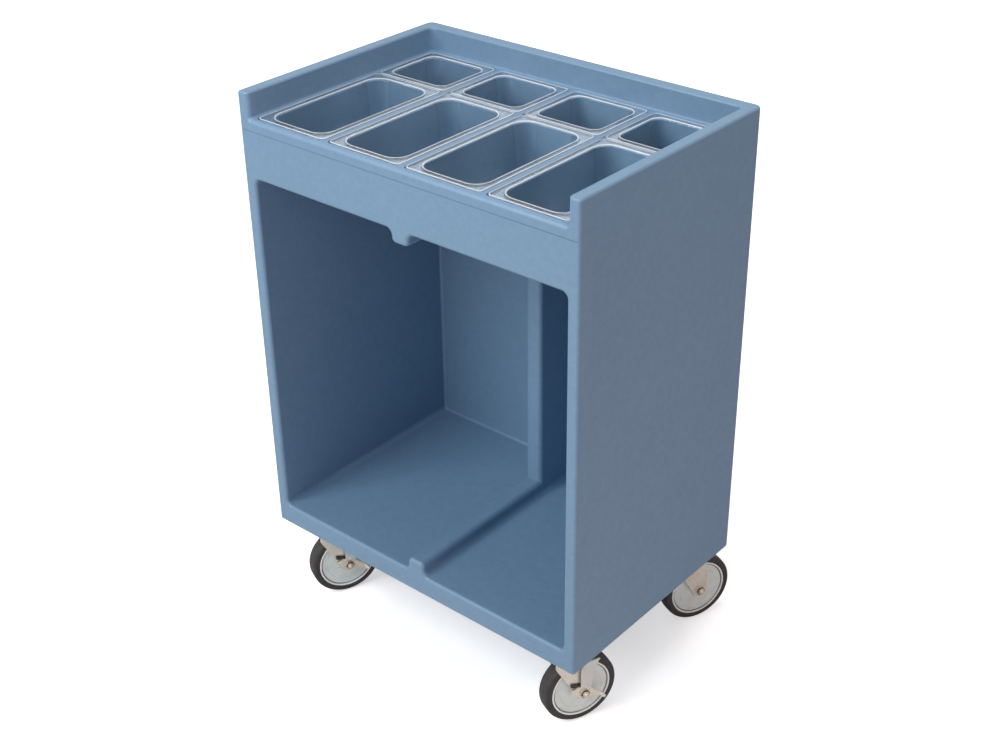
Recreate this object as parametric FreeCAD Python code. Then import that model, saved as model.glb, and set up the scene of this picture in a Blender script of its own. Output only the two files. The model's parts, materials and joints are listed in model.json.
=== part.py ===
import FreeCAD, Part
import math
import os

from FreeCAD import Vector

# Tray and cutlery cart: a one-piece moulded body with an open storage bay, eight lift-out
# pans in its deck, and four swivel casters, the front two with side brakes.
# Millimetres. +X runs along the open front to the right, +Y to the back, +Z up, floor at z = 0.

# Cart body
body_height = 985.0
wall = 27.0
front_corner_radius = 6.0
back_corner_radius = 15.0
edge_radius = 5.0
rim_height = 52.0
rim_corner_radius = 14.0
rim_foot_radius = 4.0
deck_edge_radius = 10.0
ceiling_thickness = 21.0
floor_thickness = 47.0
opening_corner_radius = 13.0
opening_foot_radius = 12.0
opening_edge_radius = 8.0
bay_back_radius = 6.0

# Divider rib that runs round the floor, back and ceiling of the bay
rib_width = 42.0
floor_rib_height = 31.0
ceiling_rib_height = 26.0
back_rib_depth = 135.0
rib_edge_radius = 11.0
rib_root_radius = 13.0

# Lift-out pans
pan_columns = 4
pan_width = 176.0
third_pan_length = 325.0
sixth_pan_length = 162.0
pan_depth = 100.0
pan_wall = 2.5
pan_draft = 4.0
third_pan_corner_radius = 34.0
sixth_pan_corner_radius = 24.0
pan_bottom_radius = 12.0
flange_width = 13.0
flange_lip = 6.0
flange_corner_radius = 10.0

# Seats and wells of the pans in the deck
column_gap = 14.0
side_margin = 8.0
front_ledge = 14.0
pan_gap = 4.0
back_margin = 10.0
seat_depth = 5.0
seat_edge_radius = 1.5
seat_clearance = 2.0
well_clearance = 2.0
well_floor_clearance = 3.0

# Caster positions and attitude
pad_inset_x = 25.0
pad_inset_y = 15.0
swivel_angle = 23.5
pad_height = 10.0
pad_margin = 2.0
pad_corner_radius = 12.0

# Caster wheel
wheel_diameter = 160.0
tyre_width = 35.0
tyre_thickness = 18.0
tyre_shoulder = 7.0
rim_lip_height = 3.0
rim_lip_width = 2.5
lip_edge_radius = 0.8
rim_thickness = 3.0
rim_edge_radius = 0.8
web_thickness = 30.0
web_dish = 1.0
web_root_radius = 1.2
hub_diameter = 38.0
hub_proud = 2.5
hub_edge_radius = 2.0
sleeve_diameter = 15.0
axle_diameter = 10.0

# Caster fork and swivel head
caster_trail = 36.0
fork_sheet = 4.5
fork_bend_radius = 8.0
axle_boss_radius = 16.0
boss_lead_radius = 12.0
boss_trail_radius = 9.0
crown_edge_radius = 3.0
leg_lead_radius = 6.0
leg_trail_radius = 12.0
hub_side_gap = 1.0
tyre_to_crown = 14.0
crown_lead = 24.0
crown_trail = 33.0
leg_lead_drop = 24.0
leg_trail_drop = 36.0
ball_diameter = 5.0
ball_circle_radius = 24.0
ball_count = 20
race_gap = 1.0
race_height = 5.0
race_outer_radius = 31.0
kingpin_diameter = 14.0
kingpin_head_diameter = 26.0
kingpin_head_height = 5.0
kingpin_head_radius = 1.6

# Caster plate and its fixings
plate_width = 102.0
plate_length = 92.0
plate_thickness = 4.5
plate_corner_radius = 10.0
bolt_edge = 12.0
bolt_diameter = 8.0
bolt_length = 26.0
bolt_head_flats = 13.0
bolt_head_height = 5.3
bolt_hole_clearance = 0.5
washer_diameter = 17.0
washer_thickness = 1.6
insert_diameter = 14.0
insert_length = 26.0

# Axle fixings
axle_head_flats = 17.0
axle_head_height = 6.5
axle_nut_height = 8.0
axle_thread_end = 2.5

# Side brake of the front casters: heights and reaches are from the axle
brake_cam_diameter = 34.0
brake_cam_thickness = 3.0
cam_stop_near = 4.0
cam_stop_far = 29.0
cam_stop_lift = 13.5
cam_stop_rise = 7.0
cam_stop_height = 9.0
cam_stop_radius = 1.5
brake_hub_diameter = 32.0
brake_sheet = 3.0
pedal_lead = 9.0
pedal_trail = 14.0
pedal_waist = 17.5
pedal_waist_height = 46.0
pedal_waist_radius = 20.0
pedal_flare = 30.0
pedal_flare_height = 70.0
pedal_height = 80.0
pedal_shoulder = 3.0
pedal_shoulder_height = 64.0
tongue_reach = 44.0
tongue_drop = 18.0
tongue_root = 12.0
tongue_waist = 27.0
tongue_waist_drop = 3.5
tongue_waist_radius = 12.0
heel_reach = 28.0
heel_top = 20.0
heel_radius = 5.0
lip_reach = 12.0
lip_corner_radius = 2.5

# Fits, each a clearance on the radius or between two faces
running_clearance = 0.05
fixed_clearance = 0.02
face_clearance = 0.1

# How far a cutting tool runs past the face that it enters
overrun = 1.0

# Heights
wheel_radius = wheel_diameter / 2
crown_bottom = wheel_diameter + tyre_to_crown
crown_top = crown_bottom + fork_sheet
race_bottom = crown_top + race_gap
plate_bottom = race_bottom + race_height
caster_height = plate_bottom + plate_thickness
underside = caster_height + pad_height
cart_top = underside + body_height
deck = cart_top - rim_height
seat = deck - seat_depth
pan_top = seat + flange_lip
pan_bottom = pan_top - pan_depth
well_bottom = pan_bottom - well_floor_clearance
ceiling = well_bottom - ceiling_thickness
bay_floor = underside + floor_thickness

# Plan sizes and positions: the body is laid out round its pans
cart_width = pan_columns * pan_width + (pan_columns - 1) * column_gap + 2 * (side_margin + wall)
cart_depth = front_ledge + third_pan_length + pan_gap + sixth_pan_length + back_margin + wall
half_width = cart_width / 2
half_depth = cart_depth / 2
inner_half_width = half_width - wall
bay_back = half_depth - wall
pad_width = plate_width + 2 * pad_margin
pad_length = plate_length + 2 * pad_margin
kingpin_x = half_width - pad_inset_x - pad_width / 2
kingpin_y = half_depth - pad_inset_y - pad_length / 2
bolt_spacing_x = plate_width - 2 * bolt_edge
bolt_spacing_y = plate_length - 2 * bolt_edge
third_pan_y = -half_depth + front_ledge + third_pan_length / 2
sixth_pan_y = third_pan_y + (third_pan_length + sixth_pan_length) / 2 + pan_gap
hub_length = tyre_width + 2 * hub_proud
leg_inner = hub_length / 2 + hub_side_gap
leg_outer = leg_inner + fork_sheet
lever_inner = leg_outer + brake_cam_thickness + face_clearance
lever_outer = lever_inner + brake_sheet
rim_radius = wheel_radius - tyre_thickness

# The origin is on the floor below the middle of the whole cart, the trailing wheels included.
turn = math.radians(swivel_angle)
trailing_reach = (
    caster_trail * math.cos(turn)
    + (wheel_radius - tyre_shoulder) * math.cos(turn)
    + (tyre_width / 2 - tyre_shoulder) * math.sin(turn)
    + tyre_shoulder
)
back_reach = max(half_depth, kingpin_y + trailing_reach)
origin_y = (back_reach - half_depth) / 2

os.makedirs("parts", exist_ok=True)


def export(name, shape):
    """Writes one node, moved so that the whole cart is centred on the origin."""
    placed = shape.copy()
    placed.translate(Vector(0, -origin_y, 0))
    placed.exportStep("parts/" + name + ".step")


def on_plan(height):
    """Puts a drawing on the level plane at a height."""
    return lambda a, b: Vector(a, b, height)


def on_front(y):
    """Puts a drawing on the upright plane at y, seen from the front."""
    return lambda a, b: Vector(a, y, b)


def on_side(x):
    """Puts a drawing on the upright plane at x, its first axis to the back."""
    return lambda a, b: Vector(x, a, b)


def outline(corners, place):
    """A closed wire through corners (a, b, radius), each corner rounded by its radius."""
    starts = []
    ends = []
    arcs = []
    count = len(corners)
    for i in range(count):
        a, b, radius = corners[i]
        before = Vector(corners[i - 1][0] - a, corners[i - 1][1] - b, 0).normalize()
        after_corner = corners[(i + 1) % count]
        after = Vector(after_corner[0] - a, after_corner[1] - b, 0).normalize()
        half = before.getAngle(after) / 2
        cut = radius / math.tan(half)
        starts.append(place(a + before.x * cut, b + before.y * cut))
        ends.append(place(a + after.x * cut, b + after.y * cut))
        if radius > 0:
            middle = (before + after).normalize() * (radius / math.sin(half) - radius)
            arcs.append(Part.Arc(starts[-1], place(a + middle.x, b + middle.y), ends[-1]).toShape())
        else:
            arcs.append(None)
    edges = []
    for i in range(count):
        if arcs[i]:
            edges.append(arcs[i])
        following = starts[(i + 1) % count]
        if ends[i].distanceToPoint(following) > 1e-6:
            edges.append(Part.LineSegment(ends[i], following).toShape())
    return Part.Wire(edges)


def prism(corners, place, along):
    """A solid with the rounded outline as its section."""
    return Part.Face(outline(corners, place)).extrude(along)


def rectangle(x0, x1, y0, y1, radius):
    """The corners of a rectangle, all rounded alike."""
    return [(x0, y0, radius), (x1, y0, radius), (x1, y1, radius), (x0, y1, radius)]


def upright_block(width, length, radius, z0, z1, x=0.0, y=0.0):
    """An upright block centred at x, y with rounded upright edges."""
    corners = rectangle(x - width / 2, x + width / 2, y - length / 2, y + length / 2, radius)
    return prism(corners, on_plan(z0), Vector(0, 0, z1 - z0))


def cylinder(radius, z0, z1, x=0.0, y=0.0):
    """An upright cylinder."""
    return Part.makeCylinder(radius, z1 - z0, Vector(x, y, z0))


def cross_cylinder(radius, x0, x1):
    """A cylinder along the axle, which runs through the origin along X."""
    return Part.makeCylinder(radius, x1 - x0, Vector(x0, 0, 0), Vector(1, 0, 0))


def hexagon(flats):
    """The corners of a hexagon."""
    reach = flats / math.sqrt(3)
    return [(reach * math.cos(math.pi * i / 3), reach * math.sin(math.pi * i / 3), 0.0) for i in range(6)]


def fillet_where(solid, radius, chosen):
    """Rounds the edges that a test picks."""
    edges = [edge for edge in solid.Edges if chosen(edge)]
    return solid.makeFillet(radius, edges)


def level_at(edge, height):
    """Whether an edge lies in the level plane at a height."""
    box = edge.BoundBox
    return abs(box.ZMin - height) < 0.01 and abs(box.ZMax - height) < 0.01


def upright_at(edge, y):
    """Whether an edge lies in the upright plane at y."""
    box = edge.BoundBox
    return abs(box.YMin - y) < 0.01 and abs(box.YMax - y) < 0.01


def bay_outline():
    """The front opening, with the rib's ends standing in its sill and its head."""
    half_rib = rib_width / 2
    sill_rib = bay_floor + floor_rib_height
    head_rib = ceiling - ceiling_rib_height
    right = [
        (half_rib, bay_floor, rib_root_radius),
        (inner_half_width, bay_floor, opening_foot_radius),
        (inner_half_width, ceiling, opening_corner_radius),
        (half_rib, ceiling, rib_root_radius),
        (half_rib, head_rib, rib_edge_radius),
    ]
    left = [
        (-half_rib, head_rib, rib_edge_radius),
        (-half_rib, ceiling, rib_root_radius),
        (-inner_half_width, ceiling, opening_corner_radius),
        (-inner_half_width, bay_floor, opening_foot_radius),
        (-half_rib, bay_floor, rib_root_radius),
    ]
    return [(half_rib, sill_rib, rib_edge_radius)] + right + left + [(-half_rib, sill_rib, rib_edge_radius)]


def bay_space():
    """The storage bay, less the upright stretch of the rib that stands on its back."""
    space = prism(bay_outline(), on_front(-half_depth), Vector(0, bay_back + half_depth, 0))
    space = fillet_where(space, bay_back_radius, lambda edge: upright_at(edge, bay_back))
    rib_front = bay_back - back_rib_depth
    corners = [
        (-rib_width / 2, rib_front, rib_edge_radius),
        (rib_width / 2, rib_front, rib_edge_radius),
        (rib_width / 2, half_depth, 0.0),
        (-rib_width / 2, half_depth, 0.0),
    ]
    return space.cut(prism(corners, on_plan(bay_floor), Vector(0, 0, ceiling - bay_floor)))


def column_x(column):
    """The middle of a column of pans."""
    return (column - (pan_columns - 1) / 2) * (pan_width + column_gap)


def well_size(length):
    """The size of the hole in the deck that a pan of a length drops through."""
    narrowing = 2 * (flange_width - well_clearance)
    return pan_width - narrowing, length - narrowing


def pan_kinds():
    """Name, length, corner radius and middle of the two kinds of pan."""
    return [
        ("third_pan", third_pan_length, third_pan_corner_radius, third_pan_y),
        ("sixth_pan", sixth_pan_length, sixth_pan_corner_radius, sixth_pan_y),
    ]


def pan_seats():
    """The recess in the deck that the flanges of each column of pans lie in."""
    seats = []
    seat_front = third_pan_y - third_pan_length / 2 - seat_clearance
    seat_back = sixth_pan_y + sixth_pan_length / 2 + seat_clearance
    for column in range(pan_columns):
        x = column_x(column)
        seats.append(upright_block(
            pan_width + 2 * seat_clearance, seat_back - seat_front, flange_corner_radius,
            seat, cart_top, x, (seat_front + seat_back) / 2))
    return seats


def pan_wells():
    """The hole in the deck under each pan."""
    wells = []
    for column in range(pan_columns):
        for name, length, radius, y in pan_kinds():
            width, depth = well_size(length)
            wells.append(upright_block(width, depth, radius, well_bottom, deck, column_x(column), y))
    return wells


def caster_corners():
    """Name, x, y and brake of each caster."""
    places = []
    for end, y, braked in (("front", -kingpin_y, True), ("rear", kingpin_y, False)):
        for side, x in (("left", -kingpin_x), ("right", kingpin_x)):
            places.append((end + "_" + side, x, y, braked))
    return places


def bolt_places(x, y):
    """Where the plate's bolts stand round a kingpin."""
    return [(x + i * bolt_spacing_x / 2, y + j * bolt_spacing_y / 2) for i in (-1, 1) for j in (-1, 1)]


def opening_edge(edge):
    """Whether an edge belongs to the bay's outline on the front face."""
    box = edge.BoundBox
    between_posts = max(abs(box.XMin), abs(box.XMax)) < half_width - wall / 2
    above_foot = box.ZMin > underside + overrun
    below_deck = box.ZMax < deck - overrun
    return upright_at(edge, -half_depth) and between_posts and above_foot and below_deck


def deck_front_edge(edge):
    """Whether an edge is the deck's front edge."""
    return upright_at(edge, -half_depth) and level_at(edge, deck)


def seat_edge(edge):
    """Whether an edge is round a seat, on top of the deck."""
    box = edge.BoundBox
    seat_back = sixth_pan_y + sixth_pan_length / 2 + seat_clearance
    in_front = box.YMin > -half_depth + deck_edge_radius + overrun
    return level_at(edge, deck) and in_front and box.YMax < seat_back + seat_edge_radius


def rim_foot_edge(edge):
    """Whether an edge runs along the foot of the rim."""
    return level_at(edge, deck) and not upright_at(edge, -cart_depth)


def make_body():
    """The moulded body: panels, deck with its rim, bay, rib and caster pads."""
    body = prism(
        [
            (-half_width, -half_depth, front_corner_radius),
            (half_width, -half_depth, front_corner_radius),
            (half_width, half_depth, back_corner_radius),
            (-half_width, half_depth, back_corner_radius),
        ],
        on_plan(underside), Vector(0, 0, body_height))
    rim_space = prism(
        [
            (-inner_half_width, -cart_depth, 0.0),
            (inner_half_width, -cart_depth, 0.0),
            (inner_half_width, bay_back, rim_corner_radius),
            (-inner_half_width, bay_back, rim_corner_radius),
        ],
        on_plan(deck), Vector(0, 0, 2 * rim_height))
    rim_space = fillet_where(rim_space, rim_foot_radius, rim_foot_edge)
    body = body.cut(rim_space)
    body = body.cut(bay_space())
    body = fillet_where(body, deck_edge_radius, deck_front_edge)
    body = fillet_where(body, edge_radius, lambda edge: level_at(edge, cart_top))
    body = fillet_where(body, edge_radius, lambda edge: level_at(edge, underside))
    body = fillet_where(body, opening_edge_radius, opening_edge)
    pads = []
    holes = []
    for name, x, y, braked in caster_corners():
        pads.append(upright_block(pad_width, pad_length, pad_corner_radius,
                                  caster_height, underside + edge_radius, x, y))
        for bolt_x, bolt_y in bolt_places(x, y):
            holes.append(cylinder(insert_diameter / 2 + fixed_clearance, caster_height,
                                  caster_height + insert_length, bolt_x, bolt_y))
    body = body.fuse(pads).cut(pan_seats())
    body = fillet_where(body, seat_edge_radius, seat_edge)
    return body.cut(pan_wells() + holes).removeSplitter()


def tapered_block(width, length, radius, bottom, top, x, y):
    """A block whose sides lean out by the pans' draft, at its given size on top."""
    lean = (top - bottom) * math.tan(math.radians(pan_draft))
    upper = outline(rectangle(-width / 2, width / 2, -length / 2, length / 2, radius), on_plan(top))
    lower = outline(
        rectangle(-width / 2 + lean, width / 2 - lean, -length / 2 + lean, length / 2 - lean, radius - lean),
        on_plan(bottom))
    block = Part.makeLoft([lower, upper], True, True)
    block.translate(Vector(x, y, 0))
    return block


def make_pan(length, radius, x, y):
    """A clear drop-in pan: tapered bowl, flat flange and its turned-down lip."""
    inner_bottom = pan_bottom + pan_wall
    bowl_width = pan_width - 2 * flange_width
    bowl_length = length - 2 * flange_width
    bowl = tapered_block(bowl_width, bowl_length, radius, pan_bottom, pan_top, x, y)
    bowl = fillet_where(bowl, pan_bottom_radius, lambda edge: level_at(edge, pan_bottom))
    space = tapered_block(bowl_width - 2 * pan_wall, bowl_length - 2 * pan_wall, radius - pan_wall,
                          inner_bottom, pan_top, x, y)
    space = fillet_where(space, pan_bottom_radius - pan_wall, lambda edge: level_at(edge, inner_bottom))
    flange = upright_block(pan_width, length, flange_corner_radius, seat, pan_top, x, y)
    under = upright_block(pan_width - 2 * pan_wall, length - 2 * pan_wall, flange_corner_radius - pan_wall,
                          seat, pan_top - pan_wall, x, y)
    return flange.cut(under).fuse(bowl).cut(space).removeSplitter()


def turn_profile(corners):
    """A solid turned about the axle, from a section (distance along the axle, radius, rounding)."""
    section = Part.Face(outline(corners, lambda a, b: Vector(a, 0, b)))
    return section.revolve(Vector(0, 0, 0), Vector(1, 0, 0), 360)


def set_on_axle(shape):
    """Moves a piece drawn about the origin onto the axle of a caster whose kingpin is the origin."""
    shape.translate(Vector(0, caster_trail, wheel_radius))
    return shape


def make_core():
    """Wheel core: hub, dished web, rim and the raised lips beside the tyre."""
    half_hub = hub_length / 2
    half_tyre = tyre_width / 2
    half_web = web_thickness / 2
    lip_outside = half_tyre - fixed_clearance
    lip_inside = lip_outside - rim_lip_width
    lip_radius = rim_radius + rim_lip_height
    rim_inside = rim_radius - rim_thickness
    bore = sleeve_diameter / 2 + running_clearance
    hub_radius = hub_diameter / 2
    right = [
        (half_hub, bore, 0.0),
        (half_hub, hub_radius, hub_edge_radius),
        (half_web + web_dish, hub_radius, web_root_radius),
        (half_web, rim_inside, web_root_radius),
        (lip_outside, rim_inside, rim_edge_radius),
        (lip_outside, lip_radius, lip_edge_radius),
        (lip_inside, lip_radius, lip_edge_radius),
        (lip_inside, rim_radius, 0.0),
    ]
    left = [(-a, b, r) for a, b, r in reversed(right)]
    return set_on_axle(turn_profile(right + left))


def make_tyre():
    """Rubber tyre, moulded round the rim between its lips."""
    half_tyre = tyre_width / 2
    inner_radius = rim_radius + fixed_clearance
    lip_clear = rim_radius + rim_lip_height + fixed_clearance
    lip_inside = half_tyre - rim_lip_width - 2 * fixed_clearance
    right = [
        (lip_inside, inner_radius, 0.0),
        (lip_inside, lip_clear, 0.0),
        (half_tyre, lip_clear, 0.0),
        (half_tyre, wheel_radius, tyre_shoulder),
    ]
    left = [(-a, b, r) for a, b, r in reversed(right)]
    return set_on_axle(turn_profile(right + left))


def leg_outline():
    """The fork seen from the side: crown, slanted leading edge, upright trailing edge, axle boss."""
    trail_edge = caster_trail + axle_boss_radius
    foot = wheel_radius - axle_boss_radius
    lead_height = crown_top - leg_lead_drop
    run = caster_trail + crown_lead
    drop = lead_height - wheel_radius
    slope = math.atan2(drop, run) + math.asin(axle_boss_radius / math.hypot(run, drop))
    foot_lead = (lead_height - foot) / math.tan(slope) - crown_lead
    return [
        (-crown_lead, crown_top, crown_edge_radius),
        (crown_trail, crown_top, crown_edge_radius),
        (trail_edge, crown_top - leg_trail_drop, leg_trail_radius),
        (trail_edge, foot, boss_trail_radius),
        (foot_lead, foot, boss_lead_radius),
        (-crown_lead, lead_height, leg_lead_radius),
    ]


def race_groove(radius):
    """The ring-shaped space that the swivel balls run in."""
    groove = Part.makeTorus(ball_circle_radius, radius)
    groove.translate(Vector(0, 0, crown_top + race_gap / 2))
    return groove


def make_fork():
    """Pressed steel fork: crown with the lower ball race, and two legs down to the axle."""
    foot = wheel_radius - axle_boss_radius
    channel = [
        (-leg_outer, foot, 0.0),
        (-leg_inner, foot, 0.0),
        (-leg_inner, crown_bottom, fork_bend_radius - fork_sheet),
        (leg_inner, crown_bottom, fork_bend_radius - fork_sheet),
        (leg_inner, foot, 0.0),
        (leg_outer, foot, 0.0),
        (leg_outer, crown_top, fork_bend_radius),
        (-leg_outer, crown_top, fork_bend_radius),
    ]
    span = crown_lead + crown_trail + caster_trail + axle_boss_radius
    sheet = prism(channel, on_front(-span), Vector(0, 2 * span, 0))
    side = prism(leg_outline(), on_side(-leg_outer), Vector(2 * leg_outer, 0, 0))
    fork = sheet.common(side).fuse(cylinder(race_outer_radius, crown_bottom, crown_top))
    kingpin_hole = cylinder(kingpin_diameter / 2 + running_clearance,
                            crown_bottom - overrun, crown_top + overrun)
    axle_hole = set_on_axle(cross_cylinder(axle_diameter / 2 + fixed_clearance,
                                           -leg_outer - overrun, leg_outer + overrun))
    ball_race = race_groove(ball_diameter / 2 + running_clearance)
    return fork.cut([kingpin_hole, axle_hole, ball_race]).removeSplitter()


def make_balls():
    """The ring of balls between the two races of the swivel head."""
    balls = []
    for i in range(ball_count):
        angle = 2 * math.pi * i / ball_count
        centre = Vector(ball_circle_radius * math.cos(angle), ball_circle_radius * math.sin(angle),
                        crown_top + race_gap / 2)
        balls.append(Part.makeSphere(ball_diameter / 2, centre))
    return Part.makeCompound(balls)


def make_plate():
    """Caster plate with the upper ball race pressed into it."""
    plate = upright_block(plate_width, plate_length, plate_corner_radius, plate_bottom, caster_height)
    plate = plate.fuse(cylinder(race_outer_radius, race_bottom, plate_bottom))
    cuts = [cylinder(kingpin_diameter / 2 + fixed_clearance, race_bottom - overrun, caster_height + overrun)]
    for x, y in bolt_places(0, 0):
        cuts.append(cylinder(bolt_diameter / 2 + bolt_hole_clearance, plate_bottom - overrun,
                             caster_height + overrun, x, y))
    cuts.append(race_groove(ball_diameter / 2 + running_clearance))
    return plate.cut(cuts).removeSplitter()


def make_kingpin():
    """Kingpin, peened flush into the plate, with its head under the crown."""
    head_top = crown_bottom - face_clearance
    shank = cylinder(kingpin_diameter / 2, head_top, caster_height)
    head = cylinder(kingpin_head_diameter / 2, head_top - kingpin_head_height, head_top)
    head = fillet_where(head, kingpin_head_radius,
                        lambda edge: level_at(edge, head_top - kingpin_head_height))
    return head.fuse(shank).removeSplitter()


def nut_seat(braked):
    """How far out from the wheel's middle the axle nut sits."""
    if braked:
        return lever_outer + face_clearance
    return leg_outer


def cross_hexagon(flats, x0, x1):
    """A hexagonal bar along the axle."""
    return prism(hexagon(flats), on_side(x0), Vector(x1 - x0, 0, 0))


def make_axle(braked):
    """Axle bolt, its head on the fork's inner side."""
    head = cross_hexagon(axle_head_flats, -leg_outer - axle_head_height, -leg_outer)
    end = nut_seat(braked) + axle_nut_height + axle_thread_end
    shank = cross_cylinder(axle_diameter / 2, -leg_outer, end)
    return set_on_axle(head.fuse(shank).removeSplitter())


def make_axle_nut(braked):
    """Axle nut on the fork's outer side."""
    inside = nut_seat(braked)
    outside = inside + axle_nut_height
    nut = cross_hexagon(axle_head_flats, inside, outside)
    hole = cross_cylinder(axle_diameter / 2 + fixed_clearance, inside - overrun, outside + overrun)
    return set_on_axle(nut.cut(hole))


def make_sleeve():
    """Bearing sleeve that the axle bolt clamps between the fork's legs."""
    sleeve = cross_cylinder(sleeve_diameter / 2, -leg_inner, leg_inner)
    hole = cross_cylinder(axle_diameter / 2 + fixed_clearance, -leg_inner - overrun, leg_inner + overrun)
    return set_on_axle(sleeve.cut(hole))


def make_brake_cam():
    """Cam disc on the fork's outer leg, under the brake lever, with the stop above its hub."""
    cam = cross_cylinder(brake_cam_diameter / 2, leg_outer, leg_outer + brake_cam_thickness)
    far_lift = cam_stop_lift + cam_stop_rise
    stop = [
        (-cam_stop_far, far_lift, cam_stop_radius),
        (-cam_stop_near, cam_stop_lift, cam_stop_radius),
        (-cam_stop_near, cam_stop_lift + cam_stop_height, cam_stop_radius),
        (-cam_stop_far, far_lift + cam_stop_height, cam_stop_radius),
    ]
    cam = cam.fuse(prism(stop, on_side(leg_outer), Vector(brake_cam_thickness, 0, 0))).removeSplitter()
    hole = cross_cylinder(axle_diameter / 2 + fixed_clearance, leg_outer - overrun, lever_inner + overrun)
    return set_on_axle(cam.cut(hole))


def pedal_outline():
    """The brake's upper arm from the side: an upright plate that flares to the back at its top."""
    return [
        (-pedal_lead, 0.0, 0.0),
        (pedal_trail, 0.0, 0.0),
        (pedal_waist, pedal_waist_height, pedal_waist_radius),
        (pedal_flare, pedal_flare_height, lip_corner_radius),
        (pedal_flare, pedal_height, lip_corner_radius),
        (pedal_shoulder, pedal_height, lip_corner_radius),
        (-pedal_lead, pedal_shoulder_height, lip_corner_radius),
    ]


def tongue_outline():
    """The brake's lower arm from the side: a horn that points down to the back."""
    return [
        (0.0, -tongue_root, 0.0),
        (tongue_reach - lip_corner_radius, -tongue_drop - lip_corner_radius, lip_corner_radius),
        (tongue_reach, -tongue_drop + lip_corner_radius, lip_corner_radius),
        (tongue_waist, -tongue_waist_drop, tongue_waist_radius),
        (tongue_root, tongue_root, 0.0),
    ]


def heel_outline():
    """The brake's heel from the side, in front of the axle."""
    return [
        (0.0, tongue_root, 0.0),
        (-heel_reach / 2, heel_top, heel_radius),
        (-heel_reach, heel_top / 2, heel_radius),
        (-heel_reach, 0.0, heel_radius),
        (0.0, -tongue_root, 0.0),
    ]


def foot_lip(y0, y1, z0, z1):
    """The end of an arm, turned outwards as a foot rest."""
    return Part.makeBox(brake_sheet + lip_reach, y1 - y0, z1 - z0, Vector(lever_inner, y0, z0))


def make_brake_lever():
    """Rocker of the side brake: a hub on the axle, its pedal, its lower arm and its heel."""
    lever = cross_cylinder(brake_hub_diameter / 2, lever_inner, lever_outer)
    arms = []
    for drawing in (pedal_outline(), tongue_outline(), heel_outline()):
        arms.append(prism(drawing, on_side(lever_inner), Vector(brake_sheet, 0, 0)))
    arms.append(foot_lip(pedal_shoulder + 2 * lip_corner_radius, pedal_flare - lip_corner_radius,
                         pedal_height - brake_sheet, pedal_height))
    arms.append(foot_lip(tongue_reach - 2 * lip_reach / 3, tongue_reach - lip_corner_radius,
                         -tongue_drop - brake_sheet / 2, -tongue_drop + brake_sheet / 2))
    lever = lever.fuse(arms)
    hole = cross_cylinder(axle_diameter / 2 + running_clearance, lever_inner - overrun, lever_outer + overrun)
    return set_on_axle(lever.cut(hole).removeSplitter())


def make_bolts():
    """The bolts, washers and threaded inserts that hold the four plates."""
    bolts = []
    washers = []
    inserts = []
    under_washer = plate_bottom - washer_thickness
    insert_top = caster_height + insert_length
    for name, x, y, braked in caster_corners():
        for bolt_x, bolt_y in bolt_places(x, y):
            head = prism(hexagon(bolt_head_flats), on_plan(under_washer), Vector(0, 0, -bolt_head_height))
            head.translate(Vector(bolt_x, bolt_y, 0))
            shank = cylinder(bolt_diameter / 2, under_washer, under_washer + bolt_length, bolt_x, bolt_y)
            bolts.append(head.fuse(shank).removeSplitter())
            hole = cylinder(bolt_diameter / 2 + fixed_clearance, under_washer - overrun, insert_top + overrun,
                            bolt_x, bolt_y)
            washer = cylinder(washer_diameter / 2, under_washer, plate_bottom, bolt_x, bolt_y)
            washers.append(washer.cut(hole))
            insert = cylinder(insert_diameter / 2, caster_height, insert_top, bolt_x, bolt_y)
            inserts.append(insert.cut(hole))
    return Part.makeCompound(bolts), Part.makeCompound(washers), Part.makeCompound(inserts)


def export_caster(name, x, y, braked):
    """Writes the pieces of one caster, its fork turned to the swivel angle."""
    fixed = {"plate": make_plate(), "kingpin": make_kingpin()}
    turned = {
        "swivel_balls": make_balls(),
        "fork": make_fork(),
        "axle": make_axle(braked),
        "axle_nut": make_axle_nut(braked),
        "axle_sleeve": make_sleeve(),
        "wheel_core": make_core(),
        "tyre": make_tyre(),
    }
    if braked:
        turned["brake_cam"] = make_brake_cam()
        turned["brake_lever"] = make_brake_lever()
    for piece, shape in turned.items():
        shape.rotate(Vector(0, 0, 0), Vector(0, 0, 1), -swivel_angle)
    for piece, shape in {**fixed, **turned}.items():
        shape.translate(Vector(x, y, 0))
        export(name + "_" + piece, shape)


export("cart_body", make_body())
for column in range(pan_columns):
    for kind, length, radius, y in pan_kinds():
        export(kind + "_" + str(column + 1), make_pan(length, radius, column_x(column), y))
for corner in caster_corners():
    export_caster(*corner)
caster_bolts, caster_washers, caster_inserts = make_bolts()
export("caster_bolts", caster_bolts)
export("caster_washers", caster_washers)
export("caster_inserts", caster_inserts)
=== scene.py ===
import json
import math

import bmesh
import bpy
from mathutils import Matrix, Quaternion, Vector

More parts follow.
